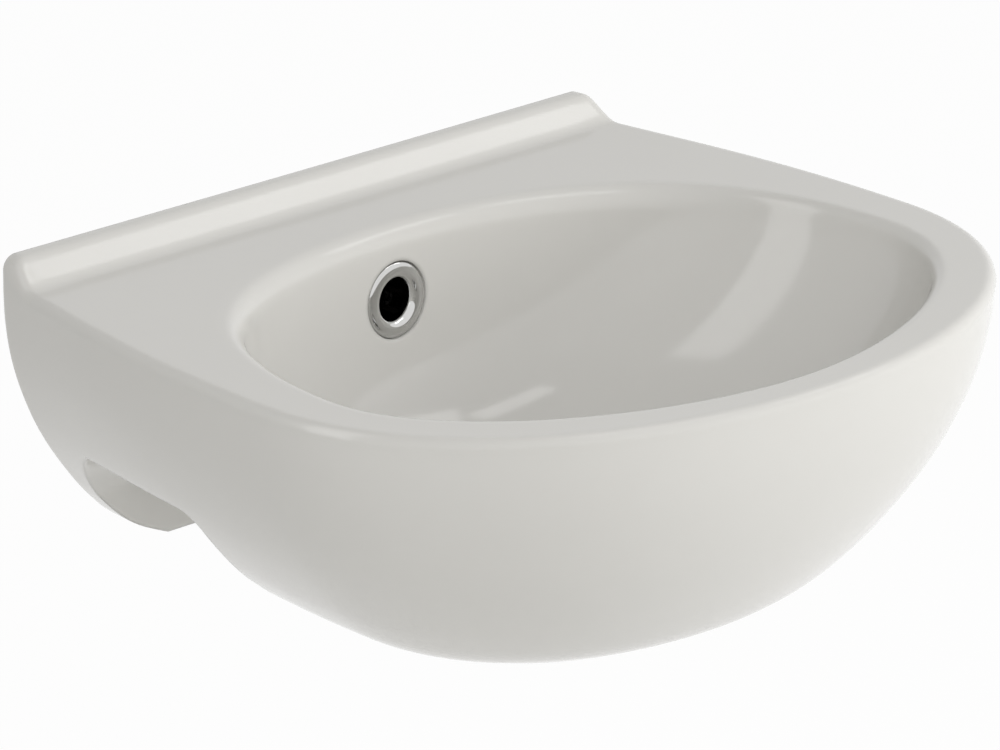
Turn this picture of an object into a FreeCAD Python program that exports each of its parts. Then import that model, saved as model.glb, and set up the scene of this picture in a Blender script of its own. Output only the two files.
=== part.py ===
import FreeCAD, Part
import os
import re
import Sketcher
from FreeCAD import Placement, Rotation, Vector

# Wall-hung hand-rinse basin with overflow ring and push-to-close waste.
# Frame: wall face at y = 0, front towards -y, x to the right, z up, deck plane at z = 0.
# Lengths are in millimetres. "Out" is a distance from the wall, "depth" one below the deck.

SIZES = {
    # rim outline and belly
    "half_width": 184.5,
    "side_splay": 21.5,
    "widest_out": 171.3,
    "depth": 300,
    "belly_depth": 135.7,
    "belly_centre_out": 159,
    "rim_round": 4.5,
    # bowl
    "rim_side": 29.1,
    "rim_front": 19.2,
    "bowl_back_out": 57.6,
    "bowl_widest_out": 183.2,
    "bowl_depth": 97,
    "bowl_round": 4.5,
    # upstand along the wall
    "upstand_height": 10.3,
    "upstand_top": 7,
    "upstand_foot": 21,
    "upstand_end": 7,
    "upstand_sink": 5,
    # back plate, rear access space and wall fixings
    "plate_thickness": 14,
    "plate_lift": 11,
    "notch_depth": 86,
    "notch_out": 72,
    "notch_lean": 40,
    "notch_fall": 20,
    "notch_round": 9,
    "side_space_depth": 69,
    "side_space_out": 108.5,
    "side_space_reach": 42,
    "flare_rise": 40,
    "pocket_depth": 56,
    "pocket_gap": 22,
    "pocket_inner": 26,
    "pocket_side": 45,
    "fixing_half_spacing": 90,
    "fixing_depth": 75,
    "fixing_hole_radius": 7,
    # overflow hole and duct
    "overflow_depth": 31,
    "overflow_sink": 1.7,
    "overflow_reach": 36,
    "overflow_room": 0.6,
    "spot_room": 0.4,
    "duct_radius": 4.5,
    "duct_setback": 15,
    "duct_drop": 2,
    "duct_wall": 9.5,
    "duct_block_half": 17,
    "duct_block_proud": 5,
    # overflow ring
    "ring_radius": 16,
    "ring_hole_radius": 9.3,
    "ring_thickness": 3.2,
    "ring_edge": 1.2,
    "ring_crown": 3,
    "sleeve_wall": 2.3,
    "sleeve_length": 17,
    "sleeve_slit": 2.4,
    "sleeve_collar": 5,
    # drain and waste tube
    "drain_out": 155,
    "drain_room": 2.05,
    "seat_rise": 1,
    "seat_room": 1.5,
    "boss_thickness": 18,
    "spanner_room": 5,
    "flange_radius": 31.5,
    "flange_height": 3.5,
    "flange_edge": 2.2,
    "flange_bevel": 2,
    "dish_fall": 2.3,
    "tail_radius": 20.95,
    "tail_length": 11.5,
    "thread_height": 0.25,
    "thread_relief": 0.5,
    "tube_wall": 1.7,
    "slot_drop": 5,
    "slot_height": 9,
    "slot_width": 13,
    "bar_height": 4,
    "bar_width": 6,
    "hub_radius": 7,
    # clamping set
    "flange_seal_height": 2,
    "flange_seal_inset": 1.5,
    "seal_room": 0.35,
    "spigot_room": 0.4,
    "spigot_height": 3,
    "lower_seal_height": 6,
    "lower_seal_inset": 1,
    "washer_height": 2,
    "washer_inset": 0.5,
    "nut_height": 9,
    "nut_corner_radius": 30,
    "thread_gap": 0.08,
    # closing cartridge
    "cup_radius": 9,
    "cup_wall": 2,
    "cup_floor": 3,
    "cover_drop": 13.2,
    "cover_lid": 2,
    "cover_spigot": 2,
    "floor_room": 4.6,
    "screw_radius": 2.5,
    "screw_room": 0.1,
    "screw_head_radius": 4.5,
    "screw_head_height": 3,
    "screw_short": 1.5,
    # plug, drawn open
    "plug_travel": 8,
    "closing_gap": 0.24,
    "stem_radius": 4,
    "stem_grip": 2,
    "stop_gap": 0.2,
    "piston_room": 0.4,
    "piston_height": 2.8,
    "pin_radius": 2.5,
    "pin_end": 1.3,
    "clip_groove": 0.5,
    "clip_slot": 0.8,
    "clip_radius": 3.6,
    "index_gap": 0.2,
    "index_height": 2.8,
    "index_radius": 5.6,
    "index_lug_room": 0.5,
    "index_lug_width": 2,
    "running_gap": 0.05,
    "cap_radius": 25,
    "cap_edge": 1.6,
    "cap_crown": 4.6,
    "plug_seal_width": 4.9,
    "plug_seal_height": 2.2,
    # return spring
    "spring_side_room": 1.4,
    "spring_wire_radius": 0.5,
    "spring_pitch": 2.4,
    "spring_seat_gap": 0.06,
    # how far cutting tools run past the surface they open
    "overrun": 6,
}

# Levels of the outside as shares of the belly's depth, and the share of the rim outline kept there.
BELLY_LEVEL_SHARES = (0.0, 0.125, 0.25, 0.375, 0.5, 0.625, 0.75, 0.85, 0.925, 0.97, 1.0)
BELLY_SHARES = (1.0, 0.993, 0.973, 0.936, 0.884, 0.813, 0.725, 0.626, 0.49, 0.396, 0.322)
# How much faster than the belly the ends of the wall plate draw in.
WALL_TAPER = 1.03
# Levels of the bowl sections as shares of its depth, and the powers of its steep back wall's curve
# and of its softer side walls' curve.
BOWL_LEVEL_SHARES = (0.0, 0.12, 0.26, 0.4, 0.54, 0.67, 0.78, 0.87, 0.94, 0.98)
BOWL_BACK_CURVE = (4.0, 2.3)
BOWL_SIDE_CURVE = (1.5, 2.5)
# Handles of the two outline curves as shares of half width and depth.
SIDE_HANDLE_SHARES = (0.9464, 0.2126, 0.3207)
FRONT_HANDLE_SHARES = (0.8525, 0.4925)
BOWL_SIDE_HANDLE_SHARES = (0.4865, 0.3120)
BOWL_FRONT_HANDLE_SHARES = (0.8500, 0.4402)
UPSTAND_HANDLE_SHARES = (0.62, 0.52, 0.06)
RING_TILT_DEGREES = 3.0
SLEEVE_SLIT_DEGREES = (0.0, 55.0)
INDEX_LUGS = 4
SLOT_COUNT = 4

# Sizes that follow from others, so that pieces that meet share one value.
DERIVED = {
    "wall_half_width": "half_width - side_splay",
    "bowl_half_width": "half_width - rim_side",
    "bowl_front_out": "depth - rim_front",
    "plate_depth": "belly_depth - plate_lift",
    "notch_low_out": "notch_out + notch_lean",
    "side_space_inner": "wall_half_width - side_space_reach",
    "pocket_out": "plate_thickness + pocket_gap",
    "pocket_outer": "wall_half_width - pocket_side",
    "overflow_seat_out": "drain_out - (drain_out - bowl_back_out) * (1 - (overflow_depth / bowl_depth)"
                         f" ^ {BOWL_BACK_CURVE[0]}) ^ (1 / {BOWL_BACK_CURVE[1]}) - overflow_sink",
    "sleeve_radius": "ring_hole_radius + sleeve_wall",
    "overflow_hole_radius": "sleeve_radius + overflow_room",
    "spot_radius": "ring_radius + spot_room",
    "tube_radius": "tail_radius - thread_height",
    "mouth_radius": "tube_radius - tube_wall",
    "drain_radius": "tail_radius + drain_room",
    "seat_depth": "bowl_depth - seat_rise",
    "seat_radius": "flange_radius + seat_room",
    "boss_depth": "seat_depth + boss_thickness",
    "under_radius": "nut_corner_radius + spanner_room",
    "flange_under_depth": "seat_depth - flange_seal_height",
    "flange_rim_depth": "flange_under_depth - flange_edge",
    "flange_top_depth": "flange_under_depth - flange_height",
    "flange_top_radius": "flange_radius - flange_bevel",
    "mouth_depth": "flange_top_depth + dish_fall",
    "slot_top_depth": "seat_depth + slot_drop",
    "duct_out": "overflow_seat_out - duct_setback",
    "duct_turn_depth": "seat_depth + duct_drop",
    "duct_block_front": "drain_out - drain_radius",
    "duct_block_back": "pocket_out - duct_block_proud",
    "duct_block_depth": "duct_turn_depth + duct_radius + duct_wall",
    "seal_bore_radius": "tail_radius + seal_room",
    "flange_seal_radius": "flange_radius - flange_seal_inset",
    "spigot_radius": "drain_radius - spigot_room",
    "lower_seal_radius": "nut_corner_radius - lower_seal_inset",
    "lower_seal_depth": "boss_depth + lower_seal_height",
    "washer_radius": "nut_corner_radius - washer_inset",
    "washer_depth": "lower_seal_depth + washer_height",
    "nut_bore_radius": "tail_radius + thread_gap",
    "nut_depth": "washer_depth + nut_height",
    "tail_top_depth": "nut_depth + thread_relief",
    "tail_depth": "tail_top_depth + tail_length",
    "cup_bore_radius": "cup_radius - cup_wall",
    "cover_top_depth": "mouth_depth + cover_drop",
    "cup_top_depth": "cover_top_depth + cover_lid",
    "cover_depth": "cup_top_depth + cover_spigot",
    "cover_bore_radius": "stem_radius + running_gap",
    "piston_radius": "cup_bore_radius - piston_room",
    "piston_top_depth": "cover_depth + stop_gap",
    "piston_depth": "piston_top_depth + piston_height",
    "index_top_depth": "piston_depth + index_gap",
    "index_depth": "index_top_depth + index_height",
    "index_lug_reach": "cup_bore_radius - index_lug_room",
    "clip_top_depth": "index_depth + index_gap",
    "clip_depth": "clip_top_depth + clip_slot",
    "clip_groove_radius": "pin_radius - clip_groove",
    "pin_depth": "clip_depth + pin_end",
    "cup_floor_depth": "pin_depth + plug_travel + floor_room",
    "bar_depth": "cup_floor_depth + cup_floor",
    "screw_hole_radius": "screw_radius + screw_room",
    "screw_seat_depth": "bar_depth + bar_height",
    "screw_head_depth": "screw_seat_depth + screw_head_height",
    "screw_tip_depth": "cup_floor_depth + screw_short",
    "plug_seal_outer": "cap_radius - cap_edge",
    "plug_seal_inner": "plug_seal_outer - plug_seal_width",
    "dish_at_seal_depth": "flange_top_depth + (flange_top_radius - plug_seal_outer) * dish_fall"
                          " / (flange_top_radius - mouth_radius)",
    "plug_seal_depth": "dish_at_seal_depth - closing_gap - plug_travel",
    "cap_under_depth": "plug_seal_depth - plug_seal_height",
    "stem_top_depth": "cap_under_depth - stem_grip",
    "spring_radius": "cup_bore_radius - spring_side_room - spring_wire_radius",
}

doc = FreeCAD.newDocument("washbasin")
sheet = doc.addObject("Spreadsheet::Sheet", "Sizes")
cells = [(name, str(value)) for name, value in SIZES.items()]
cells += [(name, "=" + rule) for name, rule in DERIVED.items()]
for row, (name, content) in enumerate(cells, start=1):
    sheet.set(f"A{row}", name)
    sheet.set(f"B{row}", content)
    sheet.setAlias(f"B{row}", name)
doc.recompute()


def size(name):
    """Return one dimension from the sheet."""
    return float(sheet.get(name))


def formula(text):
    """Write a sum of size names as an expression on the sheet."""
    return re.sub(r"[a-z_]+", lambda found: "Sizes." + found.group(), text)


def number(text):
    """Return the value of a sum of size names."""
    value = sheet.evalExpression(formula(text))
    return float(getattr(value, "Value", value))


def place(item, x=None, y=None, z=None):
    """Bind an object's position to the sheet."""
    for axis, text in (("x", x), ("y", y), ("z", z)):
        if text:
            item.setExpression(f"Placement.Base.{axis}", formula(text))


def ground_plane(body):
    """Return the body's own upright plane for its sketch."""
    return [item for item in body.Origin.OriginFeatures if item.Role == "XZ_Plane"][0]


def turned(label, foot, profile):
    """Make a turned body from (radius, depth) corners; foot is its lowest depth."""
    body = doc.addObject("PartDesign::Body", label)
    sketch = body.newObject("Sketcher::SketchObject", label + "_profile")
    sketch.AttachmentSupport = [(ground_plane(body), "")]
    sketch.MapMode = "FlatFace"
    heights = [f"{foot} - ({depth})" for _, depth in profile]
    corners = [Vector(number(radius) if radius else 0, number(height), 0)
               for (radius, _), height in zip(profile, heights)]
    count = len(corners)
    for index, corner in enumerate(corners):
        sketch.addGeometry(Part.LineSegment(corner, corners[(index + 1) % count]), False)
    for index in range(count):
        sketch.addConstraint(Sketcher.Constraint("Coincident", index, 2, (index + 1) % count, 1))
    for index, ((radius, _), height) in enumerate(zip(profile, heights)):
        if radius:
            made = sketch.addConstraint(
                Sketcher.Constraint("DistanceX", -1, 1, index, 1, corners[index].x))
            sketch.setExpression(f"Constraints[{made}]", formula(radius))
        else:
            sketch.addConstraint(Sketcher.Constraint("PointOnObject", index, 1, -2))
        if abs(corners[index].y) > 1e-9:
            made = sketch.addConstraint(
                Sketcher.Constraint("DistanceY", -1, 1, index, 1, corners[index].y))
            sketch.setExpression(f"Constraints[{made}]", formula(height))
        else:
            sketch.addConstraint(Sketcher.Constraint("PointOnObject", index, 1, -1))
    turn = body.newObject("PartDesign::Revolution", label + "_turn")
    turn.Profile = sketch
    turn.ReferenceAxis = (sketch, ["V_Axis"])
    turn.Angle = 360
    place(body, z=f"-({foot})")
    return body


def on_drain(label, foot, profile):
    """Make a turned body on the drain's axis."""
    body = turned(label, foot, profile)
    place(body, y="-drain_out")
    return body


def box(label, length, width, height, x=None, y=None, z=None):
    """Make a box whose edges and corner are bound to the sheet."""
    item = doc.addObject("Part::Box", label)
    item.setExpression("Length", formula(length))
    item.setExpression("Width", formula(width))
    item.setExpression("Height", formula(height))
    place(item, x, y, z)
    return item


def cylinder(label, radius, height, x=None, y=None, z=None):
    """Make an upright cylinder bound to the sheet."""
    item = doc.addObject("Part::Cylinder", label)
    item.setExpression("Radius", formula(radius))
    item.setExpression("Height", formula(height))
    place(item, x, y, z)
    return item


def computed(label, shape):
    """Keep a shape made of curves in the document."""
    item = doc.addObject("Part::Feature", label)
    item.Shape = shape
    return item


def joined(label, items):
    """Fuse objects into one."""
    item = doc.addObject("Part::MultiFuse", label)
    item.Shapes = items
    item.Refine = True
    return item


def cut(label, base, tool):
    """Cut one object from another."""
    item = doc.addObject("Part::Cut", label)
    item.Base = base
    item.Tool = tool
    return item


def curve(points):
    """Return one outline curve through four handles."""
    made = Part.BezierCurve()
    made.setPoles(points)
    return made.toShape()


# Basin: outline sections, lofted outside and bowl

def outline_points():
    """Return the handles of the right half of the rim outline, from the wall to the front."""
    half, out, depth = size("half_width"), size("widest_out"), size("depth")
    near, rise, fall = SIDE_HANDLE_SHARES
    swell, reach = FRONT_HANDLE_SHARES
    side = [(size("wall_half_width"), 0), (half * near, depth * rise),
            (half, depth * fall), (half, out)]
    front = [(half, out), (half, depth * swell), (half * reach, depth), (0, depth)]
    return side, front


def bowl_points():
    """Return the handles of the right half of the bowl's edge, from back to front."""
    half, out = size("bowl_half_width"), size("bowl_widest_out")
    back, ahead = size("bowl_back_out"), size("bowl_front_out")
    reach, rise = BOWL_SIDE_HANDLE_SHARES
    swell, pull = BOWL_FRONT_HANDLE_SHARES
    side = [(0, back), (half * reach, back), (half, ahead * rise), (half, out)]
    front = [(half, out), (half, ahead * swell), (half * pull, ahead), (0, ahead)]
    return side, front


def ring_of(halves, share, centre, level, keep_wall, back_share=None):
    """Return a closed section: both halves scaled about a centre, at one level."""
    def spot(x, out):
        stays = keep_wall and out == 0
        if stays:
            return Vector(x * share ** WALL_TAPER, 0, level)
        along = back_share if back_share and out < centre else share
        return Vector(x * share, -centre - (out - centre) * along, level)
    right = [[spot(x, out) for x, out in half] for half in halves]
    left = [[Vector(-p.x, p.y, p.z) for p in half] for half in right]
    edges = [curve(right[0]), curve(right[1]),
             curve(left[1][::-1]), curve(left[0][::-1])]
    if keep_wall:
        edges.append(Part.LineSegment(left[0][0], right[0][0]).toShape())
    return Part.Wire(edges)


def deck_edges(shape, nearest, farthest):
    """Return the edges in the deck plane that lie between two distances from the wall."""
    slack = size("running_gap")
    found = []
    for edge in shape.Edges:
        spread = edge.BoundBox
        in_deck = abs(spread.ZMin) < slack and abs(spread.ZMax) < slack
        if in_deck and -spread.YMax > nearest - slack and slack < -spread.YMin < farthest + slack:
            found.append(edge)
    return found


def shell():
    """Return the outside form with a rounded rim and the bowl sunk into it."""
    halves = outline_points()
    depth = size("belly_depth")
    sections = [ring_of(halves, share, size("belly_centre_out"), -depth * level, True)
                for level, share in zip(BELLY_LEVEL_SHARES, BELLY_SHARES)]
    outside = Part.makeLoft(sections, True, False)
    outside = outside.makeFillet(size("rim_round"), deck_edges(outside, 0, size("depth")))
    bowl_halves = bowl_points()
    sections = []
    for level in BOWL_LEVEL_SHARES:
        back, side = [(1 - level ** rise) ** (1 / root) for rise, root in (BOWL_BACK_CURVE, BOWL_SIDE_CURVE)]
        sections.append(ring_of(bowl_halves, side, size("drain_out"),
                                -level * size("bowl_depth"), False, back))
    bowl = Part.makeLoft(sections, True, False)
    hollow = outside.cut(bowl)
    lip = deck_edges(hollow, size("bowl_back_out"), size("bowl_front_out"))
    return hollow.makeFillet(size("bowl_round"), lip)


def upstand():
    """Return the low ridge along the wall, its ends flush with the sides."""
    top, height = size("upstand_top"), size("upstand_height")
    foot, sink = size("upstand_foot"), size("upstand_sink")
    reach, pull, dip = UPSTAND_HANDLE_SHARES
    slope = curve([Vector(0, -top, height), Vector(0, -foot * reach, height),
                   Vector(0, -foot * pull, height * dip), Vector(0, -foot, -sink)])
    corners = [Vector(0, -foot, -sink), Vector(0, 0, -sink), Vector(0, 0, height),
               Vector(0, -top, height)]
    sides = [Part.LineSegment(a, b).toShape() for a, b in zip(corners, corners[1:])]
    profile = Part.Face(Part.Wire([slope] + sides))
    bar = profile.extrude(Vector(2 * size("half_width"), 0, 0))
    bar.translate(Vector(-size("half_width"), 0, 0))
    plan = ring_of(outline_points(), 1.0, size("belly_centre_out"), -sink, True)
    bar = bar.common(Part.Face(plan).extrude(Vector(0, 0, sink + height)))
    return bar.common(rounded_end(1).fuse(rounded_end(-1)))


def rounded_end(side):
    """Return one half of the room the upstand may fill: its end rounded, along the splayed side."""
    half, height, sink = size("wall_half_width"), size("upstand_height"), size("upstand_sink")
    turn, foot = size("upstand_end"), size("upstand_foot") + size("overrun")
    start, handle = outline_points()[0][:2]
    splay = (handle[0] - start[0]) / (handle[1] - start[1])
    lean, past = turn * (1 - 0.5 ** 0.5), -side * splay * foot
    corners = [Vector(side * half, 0, height - turn), Vector(side * half, 0, -sink),
               Vector(past, 0, -sink), Vector(past, 0, height), Vector(side * (half - turn), 0, height)]
    sides = [Part.LineSegment(a, b).toShape() for a, b in zip(corners, corners[1:])]
    end = Part.Arc(corners[-1], Vector(side * (half - lean), 0, height - lean), corners[0]).toShape()
    profile = Part.Face(Part.Wire(sides + [end]))
    return profile.extrude(Vector(side * splay * foot, -foot, 0))


def notch():
    """Return the rear access space: open at the sides and below, sloped along the belly."""
    back, low = -size("plate_thickness"), -size("belly_depth") - size("overrun")
    far, top = -size("notch_low_out"), -size("notch_depth")
    corners = [Vector(0, back, top), Vector(0, -size("notch_out"), top),
               Vector(0, far, top - size("notch_fall")), Vector(0, far, low), Vector(0, back, low)]
    face = Part.Face(Part.makePolygon(corners + corners[:1]))
    span = face.extrude(Vector(2 * size("half_width"), 0, 0))
    span.translate(Vector(-size("half_width"), 0, 0))
    top = [edge for edge in span.Edges if edge.BoundBox.ZMin > -size("notch_depth") - size("running_gap")
           and edge.BoundBox.XLength > size("half_width")]
    span = span.makeFillet(size("notch_round"), top)
    for side in (1, -1):
        span = span.fuse(side_space(side, low)).cut(plate_flare(side, low))
    return span


def side_space(side, low):
    """Return the space behind one side's cut-out in the belly."""
    near, far = size("side_space_inner"), size("half_width") + size("overrun")
    back, ahead, top = size("plate_thickness"), size("side_space_out"), size("side_space_depth")
    corners = [Vector(side * near, -back, -top), Vector(side * near, -ahead, -top),
               Vector(side * near, -ahead, low), Vector(side * near, -back, low)]
    face = Part.Face(Part.makePolygon(corners + corners[:1]))
    space = face.extrude(Vector(side * (far - near), 0, 0))
    edge = [edge for edge in space.Edges if edge.BoundBox.ZMin > -top - size("running_gap")
            and edge.BoundBox.YMax < -ahead + size("running_gap")]
    return space.makeFillet(size("notch_round"), edge)


def plate_flare(side, low):
    """Return the thickening of the wall plate towards one end."""
    near, far = size("side_space_inner"), size("wall_half_width")
    back, level = size("plate_thickness"), -size("side_space_depth") + size("overrun")
    rise = size("flare_rise") * (far + size("overrun") + size("side_splay") - near) / (far - near)
    wide = far + size("overrun") + size("side_splay")
    foot = low - size("overrun")
    corners = [Vector(side * near, -back, foot), Vector(side * wide, -back, foot),
               Vector(side * wide, -back - rise, foot)]
    face = Part.Face(Part.makePolygon(corners + corners[:1]))
    return face.extrude(Vector(0, 0, level - foot))


def tilted(shape):
    """Turn a shape drawn along +z so that it follows the overflow's axis."""
    shape.Placement = overflow_placement()
    return shape


def overflow_placement():
    """Return the overflow's place: axis out of the bowl's back wall, leaning up."""
    spot = Vector(0, -size("overflow_seat_out"), -size("overflow_depth"))
    return Placement(spot, Rotation(Vector(1, 0, 0), 90 - RING_TILT_DEGREES))


rear = computed("basin_rear_space", notch())
pockets = []
for side, left in (("left", "-pocket_outer"), ("right", "pocket_inner")):
    pockets.append(box(f"basin_{side}_pocket", "pocket_outer - pocket_inner",
                       "pocket_out - plate_thickness", "notch_depth - pocket_depth + overrun",
                       left, "-pocket_out", "-notch_depth - overrun"))
space = joined("basin_space", [rear] + pockets)
block = box("basin_duct_block", "2 * duct_block_half", "duct_block_front - duct_block_back",
            "duct_block_depth", "-duct_block_half", "-duct_block_front", "-duct_block_depth")
access = cut("basin_access", space, block)
shape = shell().fuse(upstand())
clay = computed("basin_form", shape.removeSplitter())

tools = [access]
tools.append(box("basin_plate_trim", "2 * half_width", "plate_thickness + overrun",
                 "belly_depth - plate_depth + overrun", "-half_width", "-plate_thickness - overrun",
                 "-belly_depth - overrun"))
tools.append(cylinder("basin_drain", "drain_radius", "boss_depth - seat_depth + 2 * overrun",
                      None, "-drain_out", "-boss_depth - overrun"))
tools.append(cylinder("basin_seat", "seat_radius", "seat_rise + 2 * overrun",
                      None, "-drain_out", "-seat_depth"))
tools.append(cylinder("basin_underside", "under_radius", "belly_depth - boss_depth + overrun",
                      None, "-drain_out", "-belly_depth - overrun"))
for side, across in (("left", "-fixing_half_spacing"), ("right", "fixing_half_spacing")):
    hole = cylinder(f"basin_{side}_fixing", "fixing_hole_radius", "plate_thickness + 2 * overrun",
                    None, None, None)
    hole.Placement = Placement(Vector(0, 0, 0), Rotation(Vector(1, 0, 0), 90))
    place(hole, across, "overrun", "-fixing_depth")
    tools.append(hole)
spot_face = computed("basin_overflow_seat", tilted(Part.makeCylinder(
    size("spot_radius"), size("overflow_reach"))))
tools.append(spot_face)
tools.append(computed("basin_overflow_hole", tilted(Part.makeCylinder(
    size("overflow_hole_radius"), size("overflow_reach"), Vector(0, 0, -size("overflow_reach"))))))
tools.append(cylinder("basin_duct", "duct_radius", "duct_turn_depth - overflow_depth",
                      None, "-duct_out", "-duct_turn_depth"))
start = Vector(0, -size("duct_out"), -size("duct_turn_depth"))
finish = Vector(0, -size("drain_out"), -size("slot_top_depth") - size("slot_height") / 2)
tools.append(computed("basin_duct_run", Part.makeCylinder(
    size("duct_radius"), (finish - start).Length, start, finish - start).fuse(
    Part.makeSphere(size("duct_radius"), start))))
basin = cut("basin", clay, joined("basin_openings", tools))

# Overflow ring

ring = turned("overflow_turned", "sleeve_length", [
    ("ring_hole_radius", "sleeve_length"), ("sleeve_radius", "sleeve_length"),
    ("sleeve_radius", "0 * sleeve_length"), ("ring_radius", "0 * sleeve_length"),
    ("ring_radius", "-ring_edge"), ("ring_radius - ring_crown", "-ring_thickness"),
    ("ring_hole_radius + ring_edge", "-ring_thickness"), ("ring_hole_radius", "-ring_edge")])
slits = []
for index, angle in enumerate(SLEEVE_SLIT_DEGREES):
    slit = box(f"overflow_slit_{index}", "2 * sleeve_radius + 2 * overrun", "sleeve_slit",
               "sleeve_length - sleeve_collar + overrun")
    turn = Rotation(Vector(0, 0, 1), 90 + angle)
    slit.Placement = Placement(turn.multVec(Vector(
        -size("sleeve_radius") - size("overrun"), -size("sleeve_slit") / 2, 0)) + Vector(
        0, 0, -size("sleeve_length") - size("overrun")), turn)
    slits.append(slit)
overflow_ring = cut("overflow_ring", ring, joined("overflow_slits", slits))
overflow_ring.Placement = overflow_placement()

# Waste tube with overflow slots and cross bar

tube = on_drain("waste_tube", "tail_depth", [
    ("mouth_radius", "tail_depth"), ("tail_radius", "tail_depth"),
    ("tail_radius", "tail_top_depth"), ("tube_radius", "tail_top_depth"),
    ("tube_radius", "flange_under_depth"), ("flange_radius", "flange_under_depth"),
    ("flange_radius", "flange_rim_depth"), ("flange_top_radius", "flange_top_depth"),
    ("mouth_radius", "mouth_depth")])
bar = box("waste_bar", "2 * mouth_radius + running_gap", "bar_width", "bar_height",
          "-mouth_radius - running_gap / 2", "-drain_out - bar_width / 2", "-bar_depth - bar_height")
hub = cylinder("waste_hub", "hub_radius", "bar_height", None, "-drain_out", "-bar_depth - bar_height")
waste_holes = [cylinder("waste_screw_hole", "screw_hole_radius", "bar_height + 2 * overrun", None,
                        "-drain_out", "-bar_depth - bar_height - overrun")]
for index in range(SLOT_COUNT // 2):
    across = box(f"waste_slots_{index}", "2 * tube_radius + 2 * overrun", "slot_width", "slot_height")
    turn = Rotation(Vector(0, 0, 1), 360 / SLOT_COUNT * index)
    corner = Vector(-size("tube_radius") - size("overrun"), -size("slot_width") / 2, 0)
    across.Placement = Placement(turn.multVec(corner) + Vector(
        0, -size("drain_out"), -size("slot_top_depth") - size("slot_height")), turn)
    waste_holes.append(across)
waste_body = cut("waste_body", joined("waste_solid", [tube, bar, hub]),
                 joined("waste_openings", waste_holes))

# Clamping set

flange_seal = on_drain("flange_seal", "seat_depth", [
    ("seal_bore_radius", "seat_depth"), ("flange_seal_radius", "seat_depth"),
    ("flange_seal_radius", "flange_under_depth"), ("seal_bore_radius", "flange_under_depth")])
lower_seal = on_drain("lower_seal", "lower_seal_depth", [
    ("seal_bore_radius", "lower_seal_depth"), ("lower_seal_radius", "lower_seal_depth"),
    ("lower_seal_radius", "boss_depth"), ("spigot_radius", "boss_depth"),
    ("spigot_radius", "boss_depth - spigot_height"), ("seal_bore_radius", "boss_depth - spigot_height")])
clamp_washer = on_drain("clamp_washer", "washer_depth", [
    ("seal_bore_radius", "washer_depth"), ("washer_radius", "washer_depth"),
    ("washer_radius", "lower_seal_depth"), ("seal_bore_radius", "lower_seal_depth")])
hexagon = doc.addObject("Part::Prism", "nut_hexagon")
hexagon.Polygon = 6
hexagon.setExpression("Circumradius", formula("nut_corner_radius"))
hexagon.setExpression("Height", formula("nut_depth - washer_depth"))
place(hexagon, None, "-drain_out", "-nut_depth")
bore = cylinder("nut_bore", "nut_bore_radius", "nut_depth - washer_depth + 2 * overrun",
                None, "-drain_out", "-nut_depth - overrun")
back_nut = cut("back_nut", hexagon, bore)

# Closing cartridge

cartridge_body = on_drain("cartridge_body", "bar_depth", [
    ("screw_radius + running_gap", "bar_depth"), ("cup_radius", "bar_depth"),
    ("cup_radius", "cup_top_depth"), ("cup_bore_radius", "cup_top_depth"),
    ("cup_bore_radius", "cup_floor_depth"), ("screw_radius + running_gap", "cup_floor_depth")])
cartridge_cap = on_drain("cartridge_cap", "cover_depth", [
    ("cover_bore_radius", "cover_depth"), ("cup_bore_radius - running_gap", "cover_depth"),
    ("cup_bore_radius - running_gap", "cup_top_depth"), ("cup_radius", "cup_top_depth"),
    ("cup_radius", "cover_top_depth"), ("cover_bore_radius", "cover_top_depth")])
cartridge_screw = on_drain("cartridge_screw", "screw_head_depth", [
    (None, "screw_head_depth"), ("screw_head_radius", "screw_head_depth"),
    ("screw_head_radius", "screw_seat_depth"), ("screw_radius", "screw_seat_depth"),
    ("screw_radius", "screw_tip_depth"), (None, "screw_tip_depth")])

# Plug

plug_stem = on_drain("plug_stem", "pin_depth", [
    (None, "pin_depth"), ("pin_radius", "pin_depth"), ("pin_radius", "clip_depth"),
    ("clip_groove_radius", "clip_depth"), ("clip_groove_radius", "clip_top_depth"),
    ("pin_radius", "clip_top_depth"), ("pin_radius", "piston_depth"),
    ("piston_radius", "piston_depth"), ("piston_radius", "piston_top_depth"),
    ("stem_radius", "piston_top_depth"), ("stem_radius", "stem_top_depth"), (None, "stem_top_depth")])
stem_clip = on_drain("stem_clip", "clip_depth - running_gap", [
    ("clip_groove_radius + running_gap", "clip_depth - running_gap"),
    ("clip_radius", "clip_depth - running_gap"),
    ("clip_radius", "clip_top_depth + running_gap"),
    ("clip_groove_radius + running_gap", "clip_top_depth + running_gap")])
index_hoop = on_drain("index_hoop", "index_depth", [
    ("pin_radius + running_gap", "index_depth"), ("index_radius", "index_depth"),
    ("index_radius", "index_top_depth"), ("pin_radius + running_gap", "index_top_depth")])
lugs = []
for index in range(INDEX_LUGS):
    lug = box(f"index_lug_{index}", "index_lug_reach - pin_radius - index_lug_width",
              "index_lug_width", "index_depth - index_top_depth")
    turn = Rotation(Vector(0, 0, 1), 360 / INDEX_LUGS * index)
    corner = Vector(size("pin_radius") + size("index_lug_width"), -size("index_lug_width") / 2, 0)
    lug.Placement = Placement(turn.multVec(corner) + Vector(
        0, -size("drain_out"), -size("index_depth")), turn)
    lugs.append(lug)
index_ring = joined("index_ring", [index_hoop] + lugs)
plug_cap = on_drain("plug_cap", "cap_under_depth", [
    ("stem_radius + running_gap", "cap_under_depth"), ("cap_radius", "cap_under_depth"),
    ("cap_radius", "cap_under_depth - cap_edge / 2"),
    ("cap_radius - cap_edge", "cap_under_depth - cap_edge"),
    ("cap_radius / 2", "cap_under_depth - cap_crown + cap_edge / 2"),
    (None, "cap_under_depth - cap_crown"),
    (None, "stem_top_depth - running_gap"),
    ("stem_radius + running_gap", "stem_top_depth - running_gap")])
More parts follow.
